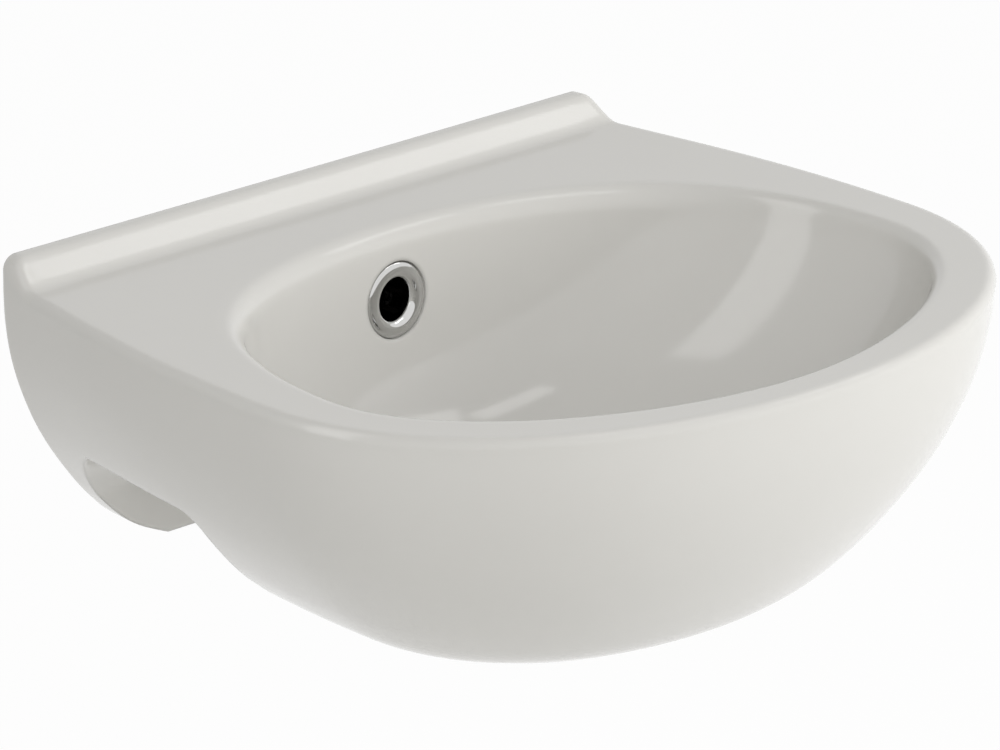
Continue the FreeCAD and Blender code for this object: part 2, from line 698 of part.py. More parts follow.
plug_seal = on_drain("plug_seal", "plug_seal_depth", [
    ("plug_seal_inner", "plug_seal_depth"),
    ("plug_seal_outer", "plug_seal_depth"),
    ("plug_seal_outer", "cap_under_depth"), ("plug_seal_inner", "cap_under_depth")])

# Return spring

spring = doc.addObject("PartDesign::Body", "return_spring")
wire = spring.newObject("Sketcher::SketchObject", "spring_wire")
wire.AttachmentSupport = [(ground_plane(spring), "")]
wire.MapMode = "FlatFace"
wire.addGeometry(Part.Circle(Vector(size("spring_radius"), 0, 0), Vector(0, 0, 1),
                             size("spring_wire_radius")), False)
wire.addConstraint(Sketcher.Constraint("PointOnObject", 0, 3, -1))
made = wire.addConstraint(Sketcher.Constraint("DistanceX", -1, 1, 0, 3, size("spring_radius")))
wire.setExpression(f"Constraints[{made}]", formula("spring_radius"))
made = wire.addConstraint(Sketcher.Constraint("Radius", 0, size("spring_wire_radius")))
wire.setExpression(f"Constraints[{made}]", formula("spring_wire_radius"))
doc.recompute()
coil = spring.newObject("PartDesign::AdditiveHelix", "spring_coil")
coil.Profile = wire
coil.ReferenceAxis = (wire, ["V_Axis"])
coil.Mode = 0
coil.setExpression("Pitch", formula("spring_pitch"))
coil.setExpression("Height", formula(
    "cup_floor_depth - index_depth - 2 * spring_wire_radius - 2 * spring_seat_gap"))
place(spring, None, "-drain_out", "-cup_floor_depth + spring_wire_radius + spring_seat_gap")

doc.recompute()

NODES = (basin, overflow_ring, waste_body, flange_seal, lower_seal, clamp_washer, back_nut,
         cartridge_body, cartridge_cap, cartridge_screw, plug_stem, stem_clip, index_ring,
         plug_cap, plug_seal, spring)

os.makedirs("parts", exist_ok=True)
for item in doc.Objects:
    if "Invalid" in item.State or "Error" in item.State:
        raise RuntimeError(f"{item.Label}: {item.State}")
for node in NODES:
    if node.Shape.isNull() or not node.Shape.isValid():
        raise RuntimeError(f"{node.Label}: shape is not usable")
    node.Shape.exportStep(f"parts/{node.Label}.step")
    print(node.Label, round(node.Shape.Volume), len(node.Shape.Solids), node.Shape.BoundBox)
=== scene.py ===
"""The looks of a small wall-hung washbasin with an overflow ring and a press-to-close waste."""

import logging
import math
from dataclasses import dataclass
from enum import Enum
from typing import Iterable, Sequence

import bmesh
import bpy
from mathutils import Matrix, Vector


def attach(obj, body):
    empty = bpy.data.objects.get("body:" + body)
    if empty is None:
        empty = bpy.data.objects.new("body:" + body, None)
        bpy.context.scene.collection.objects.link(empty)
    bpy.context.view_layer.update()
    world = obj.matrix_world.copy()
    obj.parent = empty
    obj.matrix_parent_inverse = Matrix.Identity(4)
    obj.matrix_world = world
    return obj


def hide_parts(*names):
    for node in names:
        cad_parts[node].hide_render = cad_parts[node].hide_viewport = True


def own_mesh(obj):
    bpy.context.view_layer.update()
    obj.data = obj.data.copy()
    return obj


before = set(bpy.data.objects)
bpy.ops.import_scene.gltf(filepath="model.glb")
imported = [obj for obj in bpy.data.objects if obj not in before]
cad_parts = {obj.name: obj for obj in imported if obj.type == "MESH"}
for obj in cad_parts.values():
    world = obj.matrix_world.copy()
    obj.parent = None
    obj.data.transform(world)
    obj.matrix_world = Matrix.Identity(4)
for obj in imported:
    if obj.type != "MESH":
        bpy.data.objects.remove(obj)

Pair = tuple[float, float]
Place = tuple[float, float, float]
Colour = tuple[float, float, float]
Piece = bpy.types.Object
Solid = bmesh.types.BMesh
Node = bpy.types.Node
Socket = bpy.types.NodeSocket

LOG = logging.getLogger("washbasin")
WHITE = (1.0, 1.0, 1.0, 1.0)
# Points this close are one point, and levels this close are one level
SAME_POINT = 1e-6
SAME_LEVEL = 1e-5
# Cuts that open downwards reach this far below the deck
FAR_BELOW = 0.2
# Faces across a rounded edge, by how wide it is
FEW_FACES = 2
SOME_FACES = 4
MANY_FACES = 8


class Slot(Enum):
    """The record's material slots."""

    GLAZE = "glaze"
    CHROME = "chrome"
    BRASS = "brass"
    RUBBER = "rubber"
    PLASTIC = "plastic"
    STEEL = "steel"


class Cut(Enum):
    """How one solid works on another."""

    REMOVE = "DIFFERENCE"
    ADD = "UNION"
    KEEP = "INTERSECT"


# Finishes


class NodeBoard:
    """A node tree with short ways to add and join nodes."""

    # A noise mostly keeps between these values
    NOISE_LOW = 0.3
    NOISE_HIGH = 0.7
    # The Mix node's sockets for colours
    COLOUR_SOCKETS = (6, 7)
    COLOUR_RESULT = 2
    EDGE_SAMPLES = 6

    def __init__(self, owner: bpy.types.Material | bpy.types.World) -> None:
        """Starts with an empty tree in a material or a world."""
        owner.use_nodes = True
        self.owner = owner
        self.tree = owner.node_tree
        self.tree.nodes.clear()

    def add(self, kind: str, **values: object) -> Node:
        """Adds a node.

        Args:
            kind: the node's class, without its ShaderNode start.
            values: its settings, or its input sockets by name with _ for a blank.

        Returns:
            The new node.
        """
        node = self.tree.nodes.new("ShaderNode" + kind)
        for key, value in values.items():
            if hasattr(node, key):
                setattr(node, key, value)
            else:
                node.inputs[key.replace("_", " ")].default_value = value
        return node

    def join(self, source: Socket, target: Socket) -> None:
        """Links one socket to another."""
        self.tree.links.new(source, target)

    def place(self) -> Socket:
        """Returns object coordinates, in metres from the deck's wall edge."""
        return self.add("TexCoord").outputs["Object"]

    def reckon(self, operation: str, *terms: float | Socket) -> Socket:
        """Works out a sum.

        Args:
            operation: the Math node's operation.
            terms: its inputs in order, each a number or a socket.

        Returns:
            The result's socket.
        """
        node = self.add("Math", operation=operation)
        for socket, term in zip(node.inputs, terms):
            if isinstance(term, float):
                socket.default_value = term
            else:
                self.join(term, socket)
        return node.outputs[0]

    def noise(self, at: Socket, scale: float, detail: float) -> Socket:
        """Returns the strength of a noise of that scale and detail at some coordinates."""
        node = self.add("TexNoise", Scale=scale, Detail=detail)
        self.join(at, node.inputs["Vector"])
        return node.outputs["Fac"]

    def spread(self, value: Socket, low: float, high: float) -> Socket:
        """Stretches a noise over a range.

        Args:
            value: the noise, which mostly keeps to its middle values.
            low: what its usual lowest value becomes.
            high: what its usual highest value becomes.

        Returns:
            The stretched value's socket.
        """
        node = self.add("MapRange", From_Min=self.NOISE_LOW, From_Max=self.NOISE_HIGH,
                        To_Min=low, To_Max=high)
        self.join(value, node.inputs["Value"])
        return node.outputs["Result"]

    def blend(self, share: Socket, first: Colour | Socket, second: Colour | Socket) -> Socket:
        """Turns one colour into another.

        Args:
            share: 0 for the first colour, 1 for the second.
            first: a colour or a socket.
            second: a colour or a socket.

        Returns:
            The mixed colour's socket.
        """
        node = self.add("Mix", data_type="RGBA")
        self.join(share, node.inputs["Factor"])
        for index, colour in zip(self.COLOUR_SOCKETS, (first, second)):
            if isinstance(colour, tuple):
                node.inputs[index].default_value = (*colour, 1.0)
            else:
                self.join(colour, node.inputs[index])
        return node.outputs[self.COLOUR_RESULT]

    def soften(self, radius: float) -> Socket:
        """Returns normals that round over edges, as thick glaze does."""
        return self.add("Bevel", samples=self.EDGE_SAMPLES, Radius=radius).outputs["Normal"]

    def bump(self, height: Socket, strength: float, depth: float, normal: Socket | None = None) -> Socket:
        """Raises a surface in its shading.

        Args:
            height: the relief, from 0 to 1.
            strength: how much of it shows.
            depth: its full height in metres.
            normal: the normal that it is raised over, the mesh's own if none is given.

        Returns:
            The raised normal's socket.
        """
        node = self.add("Bump", Strength=strength, Distance=depth)
        self.join(height, node.inputs["Height"])
        if normal is not None:
            self.join(normal, node.inputs["Normal"])
        return node.outputs["Normal"]

    def shader(self, **values: object) -> Node:
        """Returns the principled shader, joined to the output."""
        node = self.add("BsdfPrincipled", **values)
        self.join(node.outputs["BSDF"], self.add("OutputMaterial").inputs["Surface"])
        return node


@dataclass(frozen=True)
class Glaze:
    """White vitreous china: a glossy glaze, bare fired clay on the ground wall face.

    A noise is a pair of scale and detail, and the painted shade is a near-black colour in the overflow
    bore behind the ring, standing in for the shade deep in the hole.
    """

    name: str = "china_glaze"
    body: Colour = (0.680, 0.672, 0.645)
    shade: Colour = (0.668, 0.659, 0.631)
    tint_noise: Pair = (9.0, 3.0)
    clay: Colour = (0.560, 0.530, 0.470)
    clay_noise: Pair = (900.0, 4.0)
    clay_rough: float = 0.75
    gloss_low: float = 0.085
    gloss_high: float = 0.130
    gloss_noise: Pair = (40.0, 2.0)
    refraction: float = 1.5
    specular: float = 0.5
    wave_noise: Pair = (60.0, 1.5)
    wave_strength: float = 0.04
    wave_depth: float = 0.0004
    wall_skin: float = 0.0004
    edge: float = 0.003
    # Near-black painted shade in the overflow bore, standing in for the shade deep in the hole; its box's
    # centre and half sizes follow
    painted_passage_shade: Colour = (0.012, 0.011, 0.010)
    painted_shade_centre: Place = (0.0, -0.032, -0.034)
    painted_shade_reach: Place = (0.0150, 0.0205, 0.0175)

    def painted_shade_share(self, board: NodeBoard, split: Node) -> Socket:
        """Finds the box in the overflow bore behind the ring where shade is painted.

        Args:
            board: the glaze's nodes.
            split: the node that holds the three coordinates.

        Returns:
            A socket that is 1 in the passage and 0 elsewhere.
        """
        share = None
        for axis, centre, reach in zip("XYZ", self.painted_shade_centre, self.painted_shade_reach):
            near = board.reckon("COMPARE", split.outputs[axis], centre, reach)
            share = near if share is None else board.reckon("MULTIPLY", share, near)
        return share

    def material(self) -> bpy.types.Material:
        """Makes the glaze.

        Returns:
            The node material.
        """
        board = NodeBoard(bpy.data.materials.new(self.name))
        at = board.place()
        split = board.add("SeparateXYZ")
        board.join(at, split.inputs["Vector"])
        bare = board.reckon("GREATER_THAN", split.outputs["Y"], -self.wall_skin)
        cloud = board.spread(board.noise(at, *self.tint_noise), 0.0, 1.0)
        grain = board.spread(board.noise(at, *self.clay_noise), 0.0, 1.0)
        clay = board.blend(grain, self.clay, self.body)
        skin = board.blend(bare, board.blend(cloud, self.body, self.shade), clay)
        # Paints near-black shade into the overflow bore behind the ring
        colour = board.blend(self.painted_shade_share(board, split), skin, self.painted_passage_shade)
        gloss = board.spread(board.noise(at, *self.gloss_noise), self.gloss_low, self.gloss_high)
        rough = board.reckon("MAXIMUM", gloss, board.reckon("MULTIPLY", bare, self.clay_rough))
        wave = board.noise(at, *self.wave_noise)
        normal = board.bump(wave, self.wave_strength, self.wave_depth, board.soften(self.edge))
        shader = board.shader(IOR=self.refraction, Specular_IOR_Level=self.specular)
        board.join(colour, shader.inputs["Base Color"])
        board.join(rough, shader.inputs["Roughness"])
        board.join(normal, shader.inputs["Normal"])
        return board.owner


@dataclass(frozen=True)
class Grained:
    """A finish with clouds in its colour and a fine grain in its gloss and relief.

    The clouds' scale is a share of the grain's, and the depth is the relief's full height in metres.
    """

    name: str
    colour: Colour
    shade: Colour
    rough_low: float
    rough_high: float
    grain: float
    relief: float
    relief_depth: float
    fine_detail: float
    cloud_share: float
    cloud_detail: float
    metallic: float

    def material(self) -> bpy.types.Material:
        """Makes the finish.

        Returns:
            The node material.
        """
        board = NodeBoard(bpy.data.materials.new(self.name))
        at = board.place()
        cloud = board.noise(at, self.grain * self.cloud_share, self.cloud_detail)
        fine = board.noise(at, self.grain, self.fine_detail)
        tint = board.blend(board.spread(cloud, 0.0, 1.0), self.colour, self.shade)
        shader = board.shader(Metallic=self.metallic)
        board.join(tint, shader.inputs["Base Color"])
        board.join(board.spread(fine, self.rough_low, self.rough_high), shader.inputs["Roughness"])
        board.join(board.bump(fine, self.relief, self.relief_depth), shader.inputs["Normal"])
        return board.owner


@dataclass(frozen=True)
class Metal(Grained):
    """A polished or turned metal with fine wear in its gloss."""

    relief_depth: float = 0.0002
    fine_detail: float = 4.0
    cloud_share: float = 0.2
    cloud_detail: float = 3.0
    metallic: float = 1.0


@dataclass(frozen=True)
class Moulded(Grained):
    """A moulded rubber or plastic with a fine surface grain."""

    relief_depth: float = 0.0003
    fine_detail: float = 5.0
    cloud_share: float = 0.05
    cloud_detail: float = 2.0
    metallic: float = 0.0


class Palette:
    """One finish for each material slot."""

    FINISHES = {
        Slot.GLAZE: Glaze(),
        Slot.CHROME: Metal("chrome_plate", colour=(0.66, 0.66, 0.65), shade=(0.62, 0.62, 0.61),
                           rough_low=0.05, rough_high=0.10, grain=600.0, relief=0.02),
        Slot.BRASS: Metal("turned_brass", colour=(0.62, 0.45, 0.20), shade=(0.50, 0.36, 0.16),
                          rough_low=0.22, rough_high=0.36, grain=900.0, relief=0.08),
        Slot.STEEL: Metal("drawn_steel", colour=(0.52, 0.52, 0.53), shade=(0.44, 0.44, 0.45),
                          rough_low=0.22, rough_high=0.34, grain=1100.0, relief=0.06),
        Slot.RUBBER: Moulded("black_rubber", colour=(0.020, 0.020, 0.021), shade=(0.034, 0.034, 0.035),
                             rough_low=0.54, rough_high=0.70, grain=1500.0, relief=0.20),
        Slot.PLASTIC: Moulded("white_plastic", colour=(0.60, 0.60, 0.58), shade=(0.55, 0.55, 0.53),
                              rough_low=0.34, rough_high=0.50, grain=1200.0, relief=0.10),
    }

    def __init__(self) -> None:
        """Makes the materials."""
        self.materials = {slot: finish.material() for slot, finish in self.FINISHES.items()}

    def dress(self, piece: Piece, slot: Slot) -> None:
        """Gives a piece the material of a slot, and no other."""
        piece.data.materials.clear()
        piece.data.materials.append(self.materials[slot])


# Shared shaping


def on_curve(points: Sequence[Pair], t: float) -> Pair:
    """Finds a point on a cubic curve.

    Args:
        points: the curve's four control points.
        t: the share of the way along it.

    Returns:
        The point.
    """
    a, b, c, d = (1 - t) ** 3, 3 * t * (1 - t) ** 2, 3 * t * t * (1 - t), t ** 3
    p, q, r, s = points
    return (a * p[0] + b * q[0] + c * r[0] + d * s[0], a * p[1] + b * q[1] + c * r[1] + d * s[1])


def ease(t: float) -> float:
    """Returns a share that starts and ends level, held to 0..1."""
    t = min(max(t, 0.0), 1.0)
    return t * t * t * (t * (6 * t - 15) + 10)


def gather(t: float) -> float:
    """Returns the height won on a slope that grows smoothly from level to 1 as t goes from 0 to 1."""
    t = min(max(t, 0.0), 1.0)
    return t ** 3 - t ** 4 / 2


def quarter_turn(steps: int) -> list[float]:
    """Returns the angles that divide a quarter turn into that many steps."""
    return [math.radians(90 * i / steps) for i in range(steps + 1)]


def flat(row: Iterable[Pair], height: float) -> list[Vector]:
    """Returns a row of plan points, given as x and the distance from the wall, at one height."""
    return [Vector((x, -out, height)) for x, out in row]


def tube(inner: float, outer: float, low: float, high: float) -> list[Pair]:
    """Returns the profile of a plain tube, or of a rod where the inner radius is zero."""
    return [(inner, low), (outer, low), (outer, high), (inner, high)]


def smooth(mesh: bpy.types.Mesh, crease: float) -> None:
    """Shades a mesh smooth, but for its edges over an angle in degrees."""
    mesh.shade_smooth()
    mesh.set_sharp_from_angle(angle=math.radians(crease))


def finish_mesh(bm: Solid, name: str, crease: float = 32.0) -> Piece:
    """Closes seams, turns faces outwards and makes the scene object.

    Args:
        bm: the mesh being built; it is freed.
        name: the object's name.
        crease: the angle in degrees over which an edge stays sharp.

    Returns:
        The new object, smooth shaded.
    """
    bmesh.ops.remove_doubles(bm, verts=bm.verts, dist=SAME_POINT)
    bmesh.ops.recalc_face_normals(bm, faces=bm.faces)
    mesh = bpy.data.meshes.new(name)
    bm.to_mesh(mesh)
    bm.free()
    smooth(mesh, crease)
    piece = bpy.data.objects.new(name, mesh)
    bpy.context.scene.collection.objects.link(piece)
    return piece


def bevel(bm: Solid, edges: list[bmesh.types.BMEdge], soft: float, segments: int,
          clamp: bool = False) -> None:
    """Rounds edges of a mesh.

    Args:
        bm: the mesh being built.
        edges: the edges that are rounded.
        soft: the width of the rounding, in metres.
        segments: how many faces go across it.
        clamp: whether roundings that meet are narrowed.
    """
    bmesh.ops.bevel(bm, geom=edges, offset=soft, offset_type="OFFSET", affect="EDGES",
                    segments=segments, profile=0.5, material=-1, clamp_overlap=clamp)


def lathe(profile: Sequence[Pair], steps: int, place: Matrix, soft: float = 0.0, segments: int = 3,
          over: float = 25.0) -> Solid:
    """Spins a closed profile of (radius, height) about +Z and rounds its corners.

    Args:
        profile: the corners in order.
        steps: how many steps make a full turn.
        place: where the spun solid goes.
        soft: the width of the rounded corners, in metres.
        segments: how many faces round a corner.
        over: the smallest corner, in degrees, that is rounded.

    Returns:
        The solid as a mesh being built.
    """
    bm = bmesh.new()
    verts = [bm.verts.new((radius, 0.0, height)) for radius, height in profile]
    edges = [bm.edges.new((verts[i], verts[(i + 1) % len(verts)])) for i in range(len(verts))]
    bmesh.ops.spin(bm, geom=verts + edges, cent=(0, 0, 0), axis=(0, 0, 1), dvec=(0, 0, 0),
                   angle=2 * math.pi, steps=steps, use_merge=True, use_duplicate=False)
    bmesh.ops.remove_doubles(bm, verts=bm.verts, dist=SAME_POINT)
    bmesh.ops.recalc_face_normals(bm, faces=bm.faces)
    if soft > 0:
        corners = [e for e in bm.edges if len(e.link_faces) == 2
                   and math.degrees(e.calc_face_angle(0.0)) > over]
        bevel(bm, corners, soft, segments, clamp=True)
    bmesh.ops.transform(bm, matrix=place, verts=bm.verts)
    return bm


def block(low: Vector, high: Vector, soft: float = 0.0) -> Solid:
    """Makes a box.

    Args:
        low: its lowest corner.
        high: its highest corner.
        soft: the width of its rounded edges, none if zero.

    Returns:
        The box as a mesh being built.
    """
    bm = bmesh.new()
    bmesh.ops.create_cube(bm, size=1.0)
    bmesh.ops.scale(bm, vec=high - low, verts=bm.verts)
    bmesh.ops.translate(bm, vec=(high + low) / 2, verts=bm.verts)
    if soft > 0:
        bevel(bm, list(bm.edges), soft, SOME_FACES)
    return bm


def pull(bm: Solid, way: Vector) -> None:
    """Pulls the one flat face of a mesh out into a solid, as far and the way that a vector goes."""
    made = bmesh.ops.extrude_face_region(bm, geom=list(bm.faces))["geom"]
    bmesh.ops.translate(bm, vec=way, verts=[v for v in made if isinstance(v, bmesh.types.BMVert)])
    bmesh.ops.recalc_face_normals(bm, faces=bm.faces)


def prism(corners: Sequence[Pair], start: float, length: float) -> Solid:
    """Pulls an outline along X.

    Args:
        corners: the outline's corners as (y, z).
        start: where along X it starts.
        length: how far it is pulled, either way.

    Returns:
        The solid as a mesh being built.
    """
    bm = bmesh.new()
    bm.faces.new([bm.verts.new((start, y, z)) for y, z in corners])
    pull(bm, Vector((length, 0, 0)))
    return bm


def work(target: Piece, tool: Solid | Piece, cut: Cut) -> None:
    """Cuts a tool solid from a target, joins it on or keeps what they share.

    Args:
        target: the piece that is worked on.
        tool: the solid that works on it; it is dropped afterwards.
        cut: what is done with it.
    """
    other = tool if isinstance(tool, Piece) else finish_mesh(tool, "tool")
    step = target.modifiers.new(cut.name, "BOOLEAN")
    step.operation, step.solver, step.object = cut.value, "EXACT", other
    bpy.context.view_layer.update()
    graph = bpy.context.evaluated_depsgraph_get()
    result = bpy.data.meshes.new_from_object(target.evaluated_get(graph))
    target.modifiers.clear()
    old, target.data = target.data, result
    bpy.data.meshes.remove(old)
    bpy.data.meshes.remove(other.data)


def split_faces(piece: Piece) -> None:
    """Splits a piece's many-sided faces into triangles and drops the slivers that cuts leave."""
    bm = bmesh.new()
    bm.from_mesh(piece.data)
    many = [f for f in bm.faces if len(f.verts) > 4]
    bmesh.ops.triangulate(bm, faces=many, quad_method="BEAUTY", ngon_method="BEAUTY")
    bmesh.ops.dissolve_degenerate(bm, dist=SAME_POINT, edges=bm.edges)
    bm.to_mesh(piece.data)
    bm.free()


def round_level(bm: Solid, level: float, soft: float, at: float | None = None) -> None:
    """Rounds the edges along X at one height.

    Args:
        bm: the solid.
        level: that height.
        soft: the width of the rounding.
        at: the y of the one edge that is rounded; every edge at that height if none is given.
    """
    edges = [e for e in bm.edges if all(abs(v.co.z - level) < SAME_LEVEL for v in e.verts)
             and abs(e.verts[0].co.y - e.verts[1].co.y) < SAME_POINT
             and (at is None or abs(e.verts[0].co.y - at) < SAME_LEVEL)]
    bevel(bm, edges, soft, MANY_FACES)


def settle(piece: Piece, body: str, slot: Slot, *nodes: str) -> None:
    """Makes a piece move with a body and stand for CAD nodes, which it hides, and logs it."""
    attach(piece, body)
    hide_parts(*nodes)
    LOG.info("%s: %d faces, on %s, for %s", piece.name, len(piece.data.polygons), body, ", ".join(nodes))


# The china


@dataclass
class Basin:
    """The one-piece china: upstand, deck, bowl, belly and wall plate.

    Sizes are in metres, and out is the distance from the wall. A share is of the size that it scales,
    and handles are shares that shape a curve. A curve of the bowl is the rise and root of its wall's
    formula, an over is how far a cut runs past the china, and a gather is the power that crowds rows to
    one end.
    """

    half_width: float = 0.1845
    wall_half: float = 0.163
    wall_taper: float = 1.03
    widest_out: float = 0.1713
    depth: float = 0.300
    side_handles: tuple[float, float, float] = (0.9464, 0.2126, 0.3207)
    front_handles: Pair = (0.8525, 0.4925)
    belly_depth: float = 0.1357
    belly_out: float = 0.159
    belly_levels: tuple[float, ...] = (0.0, 0.125, 0.25, 0.375, 0.5, 0.625, 0.75, 0.85, 0.925, 0.97, 1.0)
    belly_shares: tuple[float, ...] = (
        1.0, 0.993, 0.973, 0.936, 0.884, 0.813, 0.725, 0.626, 0.49, 0.396, 0.322)

    bowl_half: float = 0.1554
    bowl_back: float = 0.0576
    bowl_wide_out: float = 0.1832
    bowl_front: float = 0.2808
    bowl_side_handles: Pair = (0.4865, 0.312)
    bowl_front_handles: Pair = (0.85, 0.4402)
    bowl_depth: float = 0.097
    bowl_back_curve: Pair = (4.0, 2.3)
    bowl_side_curve: Pair = (1.5, 2.5)
    bowl_low: float = 0.93

    drain_out: float = 0.155
    drain_radius: float = 0.023
    seat_radius: float = 0.033
    seat_depth: float = 0.096
    seat_rise: float = 0.0008
    boss_depth: float = 0.114
    recess_radius: float = 0.035
    recess_round: float = 0.002
    edge_break: float = 0.0015

    up_height: float = 0.0103
    up_top: float = 0.0045
    up_brow: float = 0.0105
    up_low: float = 0.0155
    up_foot: float = 0.0225
    up_end: float = 0.007

    rim_round: float = 0.0045
    wall_round: float = 0.0025
    wall_round_out: float = 0.008
    lip_round: float = 0.0045
    lip_back_round: float = 0.0095
    corner: float = 0.0025
    corner_turns: tuple[float, ...] = (22.5, 45.0, 67.5)

    plate: float = 0.014
    plate_foot: float = 0.1236
    trim_out: float = 0.006
    notch_top: float = 0.086
    notch_out: float = 0.072
    notch_low_out: float = 0.112
    notch_fall: float = 0.020
    notch_round: float = 0.009
    side_top: float = 0.069
    side_out: float = 0.1085
    side_inner: float = 0.115
    flare_start: float = 0.085
    flare_back: float = 0.004
    flare_top: float = 0.040
    flare_curve: tuple[Pair, ...] = (
        (0.0098, -0.1281), (0.0107, -0.0973), (0.0171, -0.0707), (0.0603, -0.0573))

    pocket_low: float = 0.026
    pocket_high: float = 0.100
    pocket_out: float = 0.036
    pocket_top: float = 0.056
    pocket_foot: float = 0.12
    pocket_round: float = 0.008
    fixing_half: float = 0.090
    fixing_depth: float = 0.075
    fixing_radius: float = 0.007
    fixing_reach: float = 0.03
    duct_half: float = 0.017
    duct_near: float = 0.031
    duct_far: float = 0.132
    duct_foot: float = 0.112
    duct_round: float = 0.004

    cut_over: float = 0.02
    flare_over: float = 0.03
    wall_over: float = 0.01
    crease: float = 38.0

    wall_steps: int = 26
    end_steps: int = 10
    end_reach: float = 1.3
    side_steps: int = 50
    side_gather: float = 1.5
    front_steps: int = 54
    edge_steps: int = 400
    belly_rows: int = 56
    belly_gather: float = 1.25
    foot_shares: Pair = (0.35, 0.7)
    round_rows: int = 8
    deck_shares: tuple[float, ...] = (
        0.01, 0.02, 0.03, 0.045, 0.06, 0.08, 0.1, 0.12, 0.14, 0.16, 0.18, 0.2, 0.22, 0.24, 0.26, 0.28,
        0.3, 0.32, 0.34, 0.36, 0.38, 0.41, 0.45, 0.5, 0.56, 0.62, 0.68, 0.74, 0.8, 0.86, 0.93)
    bowl_rows: int = 42
    bowl_gather: float = 1.3
    floor_rows: int = 8
    flare_steps: int = 24
    hole_steps: int = 48

    def outer(self, share: float) -> list[Pair]:
        """Draws half the belly's outline in plan.

        Args:
            share: its share of the full size.

        Returns:
            Its points as (x, out), from the wall's middle to the front.
        """
        def scaled(x: float, out: float) -> Pair:
            """Returns a point drawn in towards the belly's middle."""
            return (x * share, self.belly_out + (out - self.belly_out) * share)

        half, depth, wall = self.half_width, self.depth, self.wall_half * share ** self.wall_taper
        near, rise, fall = self.side_handles
        swell, reach = self.front_handles
        side = [(wall, 0.0), scaled(half * near, depth * rise), scaled(half, depth * fall),
                scaled(half, self.widest_out)]
        front = [side[3], scaled(half, depth * swell), scaled(half * reach, depth), scaled(0.0, depth)]
        r = self.corner
        end = wall - r - self.end_reach * self.up_end
        row = [(end * i / self.wall_steps, 0.0) for i in range(self.wall_steps)]
        row += [(end + (wall - r - end) * i / self.end_steps, 0.0) for i in range(self.end_steps + 1)]
        for turn in map(math.radians, self.corner_turns):
            row.append((wall - r + r * math.sin(turn), r - r * math.cos(turn)))
        begin = r / (3 * side[1][1])
        for i in range(self.side_steps + 1):
            row.append(on_curve(side, begin + (1 - begin) * (i / self.side_steps) ** self.side_gather))
        row += [on_curve(front, i / self.front_steps) for i in range(1, self.front_steps + 1)]
        return row

    def bearing(self, point: Pair) -> float:
        """Returns a plan point's turn about the drain, 0 towards the wall."""
        return math.atan2(point[0], self.drain_out - point[1])

    def bowl(self, bearings: Iterable[float]) -> list[Pair]:
        """Draws half the bowl's edge in plan.

        Args:
            bearings: the turns about the drain at which it has points, from the wall's side to the front.

        Returns:
            Its points as (x, out).
        """
        half, back, wide, ahead = self.bowl_half, self.bowl_back, self.bowl_wide_out, self.bowl_front
        (reach, rise), (swell, draw) = self.bowl_side_handles, self.bowl_front_handles
        side = [(0.0, back), (half * reach, back), (half, ahead * rise), (half, wide)]
        front = [(half, wide), (half, ahead * swell), (half * draw, ahead), (0.0, ahead)]
        count = self.edge_steps
        fine = [on_curve(side, i / count) for i in range(count)]
        fine += [on_curve(front, i / count) for i in range(count + 1)]
        turns = [self.bearing(p) for p in fine]
        row, k = [], 0
        for bearing in bearings:
            while k < len(turns) - 2 and turns[k + 1] < bearing:
                k += 1
            span = turns[k + 1] - turns[k]
            t = min(max((bearing - turns[k]) / span, 0.0), 1.0) if span else 0.0
            row.append(tuple(fine[k][j] * (1 - t) + fine[k + 1][j] * t for j in (0, 1)))
        return row

    def belly_share(self, level: float) -> float:
        """Finds the belly's share of its full size, on a smooth line through the given shares.

        Args:
            level: how far down, as a share of the belly's depth.

        Returns:
            The share there.
        """
        xs, ys = self.belly_levels, self.belly_shares

        def slope(i: int) -> float:
            """Returns the line's slope at one of the given shares."""
            low, high = max(i - 1, 0), min(i + 1, len(xs) - 1)
            return (ys[high] - ys[low]) / (xs[high] - xs[low])

        k = max(i for i in range(len(xs) - 1) if xs[i] <= level)
        span = xs[k + 1] - xs[k]
        t = (level - xs[k]) / span
        return (ys[k] * (1 + 2 * t) * (1 - t) ** 2 + slope(k) * span * t * (1 - t) ** 2
                + ys[k + 1] * t * t * (3 - 2 * t) - slope(k + 1) * span * t * t * (1 - t))

    def upstand(self, x: float, out: float) -> float:
        """Finds how high the upstand stands over the deck, with its ends rounded.

        Args:
            x: the place along the wall.
            out: the distance from it.

        Returns:
            The height.
        """
        near, rise, _ = self.side_handles
        splay = (self.half_width * near - self.wall_half) / (self.depth * rise)
        inside = (self.wall_half + splay * out - abs(x)) / math.hypot(1.0, splay)
        inside = min(max(inside, 0.0), self.up_end)
        end = self.up_height - self.up_end + math.sqrt(self.up_end ** 2 - (self.up_end - inside) ** 2)
        brow, front = self.up_brow - self.up_top, self.up_low - self.up_brow
        foot = self.up_foot - self.up_low
        fall = brow * gather((out - self.up_top) / brow) + min(max(out - self.up_brow, 0.0), front)
        fall += foot * (0.5 - gather((self.up_foot - out) / foot))
        return end * (1 - fall / (front + (brow + foot) / 2))

    def raised(self, point: Vector) -> Vector:
        """Returns a deck point lifted by the upstand."""
        return Vector((point.x, point.y, point.z + self.upstand(point.x, -point.y)))

    def roll_radius(self, out: float) -> float:
        """Returns the rim's rounding at a distance from the wall: small there, full along the sides."""
        return self.wall_round + (self.rim_round - self.wall_round) * ease(out / self.wall_round_out)

    def inset(self, rim: Vector, edge: Vector) -> Vector:
        """Returns a rim point moved in towards the bowl by the rim's rounding."""
        return rim + (edge - rim).normalized() * self.roll_radius(-rim.y)

